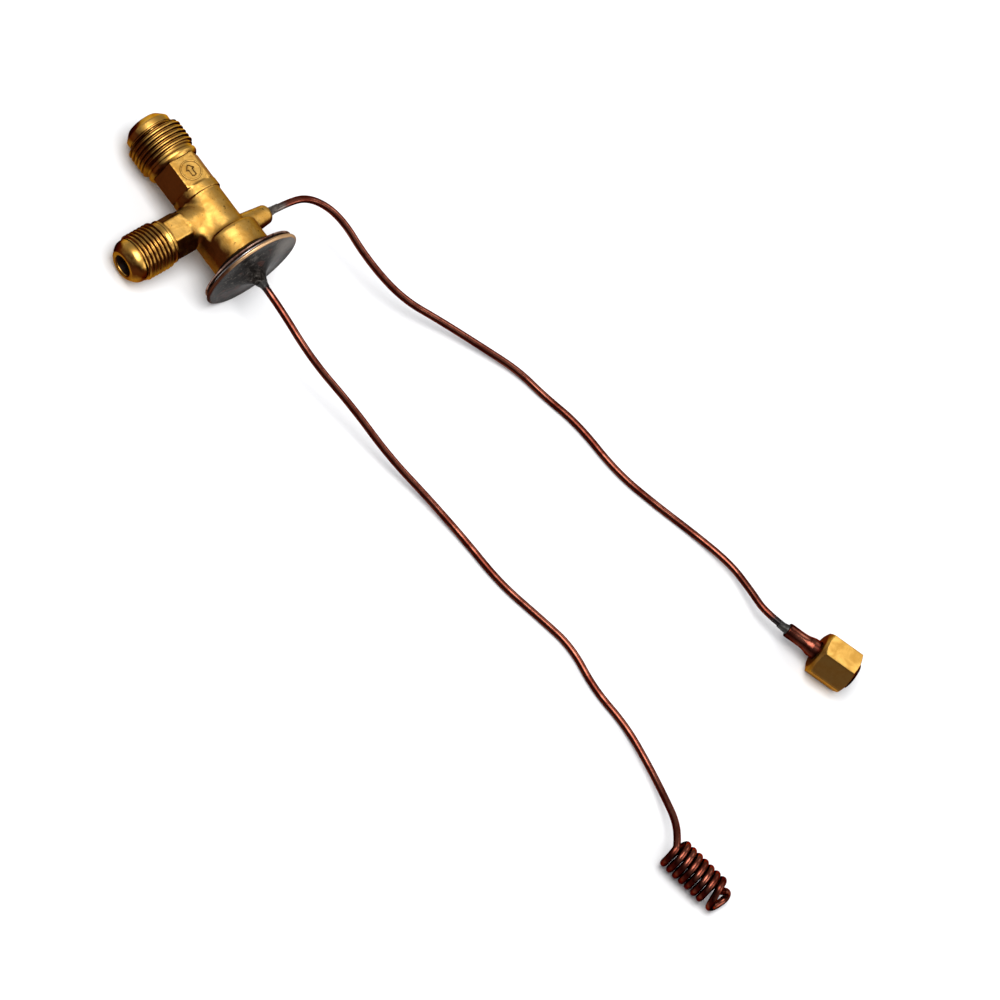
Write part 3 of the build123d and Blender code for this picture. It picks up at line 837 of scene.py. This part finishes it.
def makeShadeAndTarnish():
    # painted shade, from 0 to 1: darker in crevices, where a real brown skin also stays, and on the flanks
    # that turn away from a lit direction, then lighter again on faces that turn down
    tree, given, out = newGroup("shadeAndTarnish", {
        "Crevice Size": 0.002, "Crevice": 1.0, "Flank": 0.6, "Flank Start": 0.97, "Flank End": 0.58,
        "Scale": 420.0, "Rubbed From": (-0.05, 0.25, 0.967)}, "Mask")
    # crevices: a real brown skin in the hollows, darkened further as painted shade
    shade = addNode(tree, "ShaderNodeAmbientOcclusion", {"Distance": given["Crevice Size"]}, samples=8)
    crevices = mathOf(tree, "MULTIPLY", remapped(tree, shade.outputs["AO"], 0.92, 0.35), given["Crevice"])
    coords = coordsOf(tree)
    facing = vectorMathOf(tree, "DOT_PRODUCT", coords["Normal"], given["Rubbed From"])
    wander = noiseOf(tree, coords["Object"], given["Scale"], 5.0, 0.6)
    shifted = mathOf(tree, "MULTIPLY_ADD", wander, 0.35, facing)
    # flanks: faces turned away from the lit direction get painted shade
    flank = remapped(tree, shifted, given["Flank Start"], given["Flank End"], smooth=True)
    # faces that turn down lose some of that shade again, a painted reflection of the lit floor
    under = remapped(tree, shifted, 0.2, -0.4, 1.0, 0.15)
    flanks = mathOf(tree, "MULTIPLY", mathOf(tree, "MULTIPLY", flank, under), given["Flank"])
    tree.links.new(mathOf(tree, "MAXIMUM", crevices, flanks), out)
    return tree


def makeSpot():
    # 1 near a point of the piece, fading to 0, with a ragged edge
    tree, given, out = newGroup("spot", {
        "Place": (0.0, 0.0, 0.0), "Full": 0.004, "Fade": 0.008, "Ragged": 0.004, "Scale": 500.0}, "Mask")
    place = coordsOf(tree)["Object"]
    away = vectorMathOf(tree, "DISTANCE", place, given["Place"])
    pushed = mathOf(tree, "MULTIPLY_ADD", noiseOf(tree, place, given["Scale"], 3.0), given["Ragged"], away)
    tree.links.new(remapped(tree, pushed, given["Full"], given["Fade"], 1.0, 0.0, smooth=True), out)
    return tree


def makeBand():
    # 1 beyond a distance from the piece's X axis, fading inwards, with a wandering edge
    tree, given, out = newGroup("band", {
        "Full": 0.0165, "Fade": 0.0155, "Wander": 0.001, "From": -1.0, "To": -0.9}, "Mask")
    place = coordsOf(tree)["Object"]
    away = vectorMathOf(tree, "LENGTH", vectorMathOf(tree, "MULTIPLY", place, (0.0, 1.0, 1.0)))
    centred = mathOf(tree, "SUBTRACT", noiseOf(tree, place, 260.0, 4.0), 0.5)
    pushed = mathOf(tree, "MULTIPLY_ADD", centred, given["Wander"], away)
    mask = remapped(tree, pushed, given["Fade"], given["Full"], smooth=True)
    along = addNode(tree, "ShaderNodeSeparateXYZ", {"Vector": place}).outputs["X"]
    tree.links.new(mathOf(tree, "MULTIPLY", mask, remapped(tree, along, given["From"], given["To"])), out)
    return tree


def makeTurning():
    # height of fine turning marks across an axis of the piece
    tree, given, out = newGroup("turningMarks", {"Lines": 9000.0, "Axis": (1.0, 0.0, 0.0)}, "Height")
    along = vectorMathOf(tree, "DOT_PRODUCT", coordsOf(tree)["Object"], given["Axis"])
    lines = {"W": mathOf(tree, "MULTIPLY", along, given["Lines"]), "Scale": 1.0, "Detail": 3.0}
    tree.links.new(addNode(tree, "ShaderNodeTexNoise", lines, noise_dimensions="1D").outputs["Fac"], out)
    return tree


groups = {
    "mottle": makeMottle(),
    "grain": makeGrain(),
    "shadeAndTarnish": makeShadeAndTarnish(),
    "spot": makeSpot(),
    "band": makeBand(),
    "turning": makeTurning(),
}


# Materials

brassSettings = {
    "clean": (0.73, 0.42, 0.10, 1),
    "worn": (0.57, 0.295, 0.055, 1),
    # brown and brownEdge: colours of the painted shade on flanks and in crevices, over a real brown skin in
    # the crevices
    "brown": (0.066, 0.0165, 0.0035, 1),
    "edge": (0.55, 0.32, 0.10, 1),
    "brownEdge": (0.16, 0.05, 0.015, 1),
    "olive": (0.22, 0.125, 0.03, 1),
    "broadShade": (0.27, 0.135, 0.028, 1),
    "hollow": (0.40, 0.215, 0.045, 1),
    "amber": (0.33, 0.115, 0.02, 1),
}
copperSettings = {
    "bright": (0.27, 0.088, 0.055, 1),
    "deep": (0.10, 0.018, 0.010, 1),
    # brown and brownEdge: colours of the painted shade on flanks and in crevices; brown also stains the
    # sleeve's end
    "brown": (0.022, 0.0024, 0.0014, 1),
    "edge": (0.42, 0.17, 0.10, 1),
    "brownEdge": (0.10, 0.02, 0.012, 1),
    "burnt": (0.022, 0.018, 0.018, 1),
    "tinned": (0.14, 0.115, 0.10, 1),
}
coverSettings = {
    "black": (0.006, 0.0048, 0.004, 1),
    "grey": (0.026, 0.022, 0.019, 1),
    "ash": (0.125, 0.112, 0.098, 1),
    "rust": (0.075, 0.022, 0.014, 1),
    "umber": (0.06, 0.022, 0.012, 1),
    "rim": (0.42, 0.27, 0.21, 1),
    "gold": (0.62, 0.38, 0.20, 1),
    "edge": (0.30, 0.26, 0.23, 1),
}

# patches are (scale, low, high, warp), grain is (scale, pit scale, pits) and bump is (strength, distance)
brazeSkin = {
    "roughness": (0.36, 0.6), "patches": (700.0, 0.38, 0.62, 0.8), "grain": (1600.0, 900.0, 0.5),
    "bump": (0.5, 0.00006),
}
plainSettings = {
    # painted shade: the inside of the port bores is a near-black brown, as the hole's shade
    "bore": {
        "name": "boreShadeBrown", "light": (0.03, 0.009, 0.003, 1), "dark": (0.012, 0.004, 0.0015, 1),
        "metallic": 0.5, **brazeSkin,
    },
    "solder": {
        "name": "greySolder", "light": (0.12, 0.10, 0.085, 1), "dark": (0.055, 0.045, 0.036, 1),
        "metallic": 0.8, **brazeSkin,
    },
    "burnt": {
        "name": "burntBraze", "light": (0.026, 0.024, 0.020, 1), "dark": (0.009, 0.008, 0.007, 1),
        "metallic": 0.5, **brazeSkin,
    },
    "steel": {
        "name": "groundSteel", "light": (0.56, 0.56, 0.57, 1), "dark": (0.38, 0.37, 0.36, 1),
        "metallic": 1.0, "roughness": (0.18, 0.32), "patches": (300.0, 0.35, 0.7, 0.3),
        "grain": (2500.0, 900.0, 0.2), "bump": (0.2, 0.00001),
    },
    "rubber": {
        "name": "sealRubber", "light": (0.012, 0.012, 0.012, 1), "dark": (0.035, 0.034, 0.033, 1),
        "metallic": 0.0, "roughness": (0.6, 0.6), "patches": (500.0, 0.4, 0.7, 0.2),
        "grain": (2000.0, 700.0, 0.2), "bump": (0.3, 0.00002),
    },
}


def newMaterial(name, metallic=1.0, roughness=0.35):
    material = bpy.data.materials.new(name)
    material.use_nodes = True
    tree = material.node_tree
    shader = tree.nodes["Principled BSDF"]
    shader.inputs["Metallic"].default_value = metallic
    shader.inputs["Roughness"].default_value = roughness
    return material, tree, shader


def useGroup(tree, name, **inputs):
    # the output of a group with these inputs, where _ stands for a space in a label
    node = tree.nodes.new("ShaderNodeGroup")
    node.node_tree = groups[name]
    for key, value in inputs.items():
        node.inputs[key.replace("_", " ")].default_value = value
    return node.outputs[0]


def layered(tree, colour, *layers):
    # colours over each other, each given as (mask, colour) and seen where its mask is 1
    for mask, tint in layers:
        colour = addNode(tree, "ShaderNodeMix", {0: mask, 6: colour, 7: tint}, data_type="RGBA").outputs[2]
    return colour


def varied(tree, socket, mask, low, high):
    tree.links.new(remapped(tree, mask, 0.0, 1.0, low, high), socket)


def painted(tree, shader, colour, mask, smoothest, roughest):
    tree.links.new(colour, shader.inputs["Base Color"])
    varied(tree, shader.inputs["Roughness"], mask, smoothest, roughest)


def edged(tree, shader, mask, colours):
    # the tint of what is seen at a grazing angle, darker where the mask is 1, a painted shade on the
    # reflections
    edge = layered(tree, colours["edge"], (mask, colours["brownEdge"]))
    tree.links.new(edge, shader.inputs["Specular Tint"])


def bumped(tree, shader, *layers):
    # stacks bumps given as (height socket, strength, distance)
    inputs = {}
    for height, strength, distance in layers:
        inputs.update({"Height": height, "Strength": strength, "Distance": distance})
        inputs["Normal"] = addNode(tree, "ShaderNodeBump", inputs).outputs["Normal"]
    tree.links.new(inputs["Normal"], shader.inputs["Normal"])


def forgedBrass():
    material, tree, shader = newMaterial("forgedBrass")
    patches = useGroup(tree, "mottle", Scale=260.0, Low=0.38, High=0.66, Warp=0.6)
    specks = useGroup(tree, "mottle", Scale=900.0, Low=0.6, High=0.7, Warp=0.2)
    # painted shade in crevices and on flanks, over a real brown skin in the crevices
    shadeAndTarnish = useGroup(tree, "shadeAndTarnish", Crevice_Size=0.0022, Crevice=0.9, Flank=1.0)
    # painted shade: wide hollows and faces turned away from a lit direction are darkened
    broadShade = useGroup(tree, "shadeAndTarnish", Crevice_Size=0.008, Crevice=1.4, Flank=0.75, Flank_Start=1.0,
                    Flank_End=0.45, Rubbed_From=(0.0, -0.35, 0.937))
    # painted shade: a spot on the web that dims a bright reflection of the lamp
    hollow = useGroup(tree, "spot", Place=(0.0036, -0.0058, 0.0056), Full=0.002, Fade=0.0065)
    colour = layered(
        tree, brassSettings["clean"], (patches, brassSettings["worn"]), (specks, brassSettings["olive"]),
        (broadShade, brassSettings["broadShade"]), (hollow, brassSettings["hollow"]), (shadeAndTarnish, brassSettings["brown"]))
    edged(tree, shader, shadeAndTarnish, brassSettings)
    painted(tree, shader, colour, patches, 0.42, 0.52)
    skin = useGroup(tree, "grain", Scale=1300.0, Pit_Scale=620.0, Pits=0.6)
    coarse = useGroup(tree, "grain", Scale=420.0, Pit_Scale=240.0, Pits=0.3)
    bumped(tree, shader, (coarse, 0.6, 0.00009), (skin, 0.75, 0.00006))
    return material


def turnedBrass(name, axis=(1, 0, 0), flank=1.0):
    material, tree, shader = newMaterial(name)
    patches = useGroup(tree, "mottle", Scale=220.0, Low=0.35, High=0.7, Warp=0.5)
    # thread valleys in amber: painted shade in narrow crevices, over a real brown skin there
    valleys = useGroup(tree, "shadeAndTarnish", Crevice_Size=0.0007, Crevice=1.3, Flank=0.0)
    # painted shade in fine crevices and on the flanks that face away from the light
    shadeAndTarnish = useGroup(tree, "shadeAndTarnish", Crevice_Size=0.0003, Crevice=0.9, Flank=flank)
    colour = layered(tree, brassSettings["clean"], (patches, brassSettings["worn"]),
                     (valleys, brassSettings["amber"]), (shadeAndTarnish, brassSettings["brown"]))
    edged(tree, shader, shadeAndTarnish, brassSettings)
    painted(tree, shader, colour, patches, 0.31, 0.42)
    marks = useGroup(tree, "turning", Lines=6000.0, Axis=axis)
    skin = useGroup(tree, "grain", Scale=1800.0, Pit_Scale=500.0, Pits=0.3)
    bumped(tree, shader, (marks, 0.25, 0.00002), (skin, 0.25, 0.00002))
    return material


def copper(name, spots=(), flank=1.0):
    # drawn copper, with spots given as (place, full, fade, colour)
    material, tree, shader = newMaterial(name)
    patches = useGroup(tree, "mottle", Scale=110.0, Low=0.35, High=0.68, Warp=0.7)
    stains = useGroup(tree, "mottle", Scale=420.0, Low=0.52, High=0.75, Warp=1.0)
    # painted shade in crevices and on the flanks that face away from the light
    shadeAndTarnish = useGroup(tree, "shadeAndTarnish", Crevice_Size=0.0012, Crevice=0.9, Flank=flank, Flank_Start=0.9,
                       Flank_End=0.45)
    colour = layered(tree, copperSettings["bright"], (patches, copperSettings["deep"]),
                     (stains, copperSettings["deep"]), (shadeAndTarnish, copperSettings["brown"]))
    for place, full, fade, tint in spots:
        colour = layered(tree, colour, (useGroup(tree, "spot", Place=place, Full=full, Fade=fade), tint))
    edged(tree, shader, shadeAndTarnish, copperSettings)
    painted(tree, shader, colour, patches, 0.20, 0.33)
    skin = useGroup(tree, "grain", Scale=1300.0, Pit_Scale=450.0, Pits=0.25)
    bumped(tree, shader, (skin, 0.3, 0.00003))
    return material


def newCover(name, sheen):
    material, tree, shader = newMaterial(name)
    shader.inputs["Specular IOR Level"].default_value = sheen
    shader.inputs["Specular Tint"].default_value = coverSettings["edge"]
    return material, tree, shader, useGroup(tree, "grain", Scale=1000.0, Pit_Scale=400.0, Pits=0.3)


def heatedCover():
    # black heat oxide with grey swirls and brown tints, a painted lighter patch on the side the lamp
    # lights, and a painted gold highlight along the top of its rim's front edge
    material, tree, shader, skin = newCover("heatedCover", 0.04)
    swirls = useGroup(tree, "mottle", Scale=150.0, Low=0.46, High=0.66, Warp=3.2)
    smears = useGroup(tree, "mottle", Scale=380.0, Low=0.52, High=0.78, Warp=2.0)
    rusty = useGroup(tree, "mottle", Scale=170.0, Low=0.55, High=0.75, Warp=1.2)
    side = useGroup(tree, "band", Full=0.01660, Fade=0.01600, Wander=0.0009)
    # the rim's front edge turns gold only inside the lit spot at its top, a painted highlight
    rim = useGroup(tree, "band", Full=0.01660, Fade=0.01600, Wander=0.0009, From=0.0207, To=0.0213)
    lit = useGroup(tree, "spot", Place=(0.0219, 0.005, 0.0165), Full=0.012, Fade=0.022)
    # painted light: a paler patch on the side of the face that the lamp lights
    litSidePatch = useGroup(tree, "spot", Place=(0.0223, 0.0125, 0.0070), Full=0.003, Fade=0.012, Ragged=0.004,
                    Scale=300.0)
    colour = layered(
        tree, coverSettings["black"], (swirls, coverSettings["grey"]), (litSidePatch, coverSettings["ash"]),
        (smears, coverSettings["ash"]), (rusty, coverSettings["rust"]), (side, coverSettings["umber"]),
        (mathOf(tree, "MULTIPLY", rim, lit), coverSettings["gold"]))
    painted(tree, shader, colour, smears, 0.36, 0.55)
    varied(tree, shader.inputs["Metallic"], side, 0.1, 0.9)
    bumped(tree, shader, (smears, 0.3, 0.00005), (skin, 0.4, 0.00005))
    return material


def rubbedCover():
    # a black sheet whose rim, beyond a radius, is rubbed to a pinkish brown
    material, tree, shader, skin = newCover("rubbedCover", 0.1)
    patches = useGroup(tree, "mottle", Scale=180.0, Low=0.42, High=0.66, Warp=1.2)
    rim = useGroup(tree, "band", Full=0.0158, Fade=0.0146, Wander=0.0010)
    rubbed = layered(tree, coverSettings["rim"], (patches, coverSettings["rust"]))
    painted(tree, shader, layered(tree, coverSettings["black"], (rim, rubbed)), patches, 0.28, 0.45)
    varied(tree, shader.inputs["Metallic"], rim, 0.2, 1.0)
    bumped(tree, shader, (skin, 0.3, 0.00003))
    return material


def plainLook(name, light, dark, metallic, roughness, patches, grain, bump):
    # two colours in patches, over a grained skin
    material, tree, shader = newMaterial(name, metallic=metallic)
    mask = useGroup(tree, "mottle", **dict(zip(("Scale", "Low", "High", "Warp"), patches)))
    skin = useGroup(tree, "grain", **dict(zip(("Scale", "Pit_Scale", "Pits"), grain)))
    painted(tree, shader, layered(tree, light, (mask, dark)), mask, *roughness)
    bumped(tree, shader, (skin, *bump))
    return material


def gauzeSteel():
    # a fine weave, as the height and the darkness of its gaps
    material, tree, shader = newMaterial("gauze", roughness=0.45)
    bands = {"Vector": coordsOf(tree)["Object"], "Scale": 900.0}
    waves = [addNode(tree, "ShaderNodeTexWave", bands, wave_type="BANDS", bands_direction=direction)
             for direction in ("X", "Z")]
    weave = mathOf(tree, "MAXIMUM", *[wave.outputs["Fac"] for wave in waves])
    colour = layered(tree, (0.03, 0.028, 0.025, 1), (weave, (0.30, 0.28, 0.25, 1)))
    tree.links.new(colour, shader.inputs["Base Color"])
    bumped(tree, shader, (weave, 0.8, 0.00006))
    return material


bossTip = valvePlace @ Vector((tubeSettings["bossX"], tubeSettings["bossReach"], 0))
sleeveRear = sleeveMouth - sleeveAxis * tubeSettings["sleeveLength"]
nippleTip = valvePlace @ Vector((tubeSettings["nippleEnd"], 0, 0))

materials = {
    "forged": forgedBrass(),
    "turned": turnedBrass("turnedBrass", axis=(1, 1, 0)),
    "nut": turnedBrass("nutBrass", flank=0.8),
    "inner": turnedBrass("innerBrass", flank=0.2),
    "sensing": copper("sensingCopper", [(nippleTip, 0.003, 0.008, copperSettings["burnt"])]),
    "equaliser": copper("equaliserCopper", [
        (bossTip, 0.0065, 0.0095, copperSettings["tinned"]),
        (sleeveRear, 0.0065, 0.0105, copperSettings["burnt"])]),
    "sleeve": copper("sleeveCopper", [((0, 0, 0), 0.003, 0.0075, copperSettings["brown"])], flank=0.9),
    "heated": heatedCover(),
    "rubbed": rubbedCover(),
    "gauze": gauzeSteel(),
}
for key, settings in plainSettings.items():
    materials[key] = plainLook(**settings)
print("materials are made")


# Finishes, bodies and what each new piece stands for

newPieces = [
    (valveBody, ["forged", "turned", "bore"], "valve", "forged_brass", ["valve_body"]),
    (lowerCover, ["rubbed"], "valve", "copper_cover", ["lower_cover"]),
    (upperCover, ["heated"], "valve", "oxidised_cover", ["upper_cover"]),
    (headBraze, ["burnt"], "valve", "braze", ["head_braze"]),
    (equaliserBraze, ["solder"], "valve", "braze", ["equaliser_braze"]),
    (sleeveBraze, ["burnt"], "valve", "braze", ["sleeve_braze"]),
    (endSleeve, ["sleeve"], "valve", "copper_tube", ["end_sleeve"]),
    (flareNut, ["nut"], "nut", "turned_brass", ["flare_nut"]),
    (sensingTube, ["sensing"], "valve", "copper_tube", ["sensing_tube", "sensing_coil"]),
    (equaliserTube, ["equaliser"], "valve", "copper_tube", ["equaliser_tube"]),
    (bulbTip, ["sleeve"], "valve", "braze", []),
]
for piece, finishes, body, slotName, stoodFor in newPieces:
    for finish in finishes:
        piece.data.materials.append(materials[finish])
    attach(piece, body)
    if stoodFor:
        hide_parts(*stoodFor)

innerFinishes = {
    "inlet_strainer": "gauze",
    "strainer_ring": "inner",
    "push_pin": "steel",
    "pin_seal": "rubber",
    "gland_washer": "inner",
    "valve_ball": "steel",
    "ball_carrier": "inner",
    "adjusting_screw": "inner",
    "buffer_plate": "inner",
    "diaphragm": "steel",
}
for name, finish in innerFinishes.items():
    nodes[name].data.materials.clear()
    nodes[name].data.materials.append(materials[finish])


def makeSpring():
    # a steel copy of the coil spring that sits between the carrier, which moves, and the screw
    source = nodes["superheat_spring"]
    mesh = source.data.copy()
    mesh.transform(source.matrix_world)
    mesh.materials.clear()
    mesh.materials.append(materials["steel"])
    spring = linkMesh("superheatSpring", mesh, Matrix.Identity(4))
    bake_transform(spring)
    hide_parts("superheat_spring")


makeSpring()
print("pieces ride on their bodies")


# Floor and lamps

stageSettings = {
    "floorSize": 8.0,
    "floorDrop": 0.05 * mm,
    "floorColour": (0.86, 0.86, 0.86, 1),
    "worldColour": (0.92, 0.94, 1.0, 1),
    "worldStrength": 0.34,
    "middle": (0.11, 0.05, 0.0),
}
lampSettings = [
    {"name": "topSoftbox", "offset": (-0.07, -0.32, 1.05), "size": 0.8, "energy": 13.5},
    {"name": "sideFill", "offset": (1.1, 0.5, 0.7), "size": 0.8, "energy": 6.0},
    {"name": "rearFill", "offset": (0.07, 0.45, 0.48), "size": 0.3, "energy": 0.5},
]


def makeFloor(settings):
    mesh = bpy.data.meshes.new("floor")
    half = settings["floorSize"] / 2
    corners = [(-half, -half, 0), (half, -half, 0), (half, half, 0), (-half, half, 0)]
    mesh.from_pydata(corners, [], [(0, 1, 2, 3)])
    floor = linkMesh("floor", mesh, Matrix.Translation((0, 0, -settings["floorDrop"])))
    material, _, shader = newMaterial("floorPaper", metallic=0.0, roughness=0.9)
    shader.inputs["Base Color"].default_value = settings["floorColour"]
    shader.inputs["Specular IOR Level"].default_value = 0.1
    mesh.materials.append(material)


def makeWorld(settings):
    world = bpy.data.worlds.new("studio")
    world.use_nodes = True
    sky = world.node_tree.nodes["Background"]
    sky.inputs["Color"].default_value = settings["worldColour"]
    sky.inputs["Strength"].default_value = settings["worldStrength"]
    bpy.context.scene.world = world


def makeLamps(middle):
    for lamp in lampSettings:
        data = bpy.data.lights.new(lamp["name"], "AREA")
        data.shape = "SQUARE"
        data.size = lamp["size"]
        data.energy = lamp["energy"]
        light = bpy.data.objects.new(lamp["name"], data)
        light.location = Vector(middle) + Vector(lamp["offset"])
        light.rotation_mode = "QUATERNION"
        light.rotation_quaternion = (-Vector(lamp["offset"])).to_track_quat("-Z", "Y")
        bpy.context.scene.collection.objects.link(light)


makeFloor(stageSettings)
makeWorld(stageSettings)
makeLamps(stageSettings["middle"])
bpy.context.scene.view_settings.view_transform = "Standard"
print("floor and lamps are set")
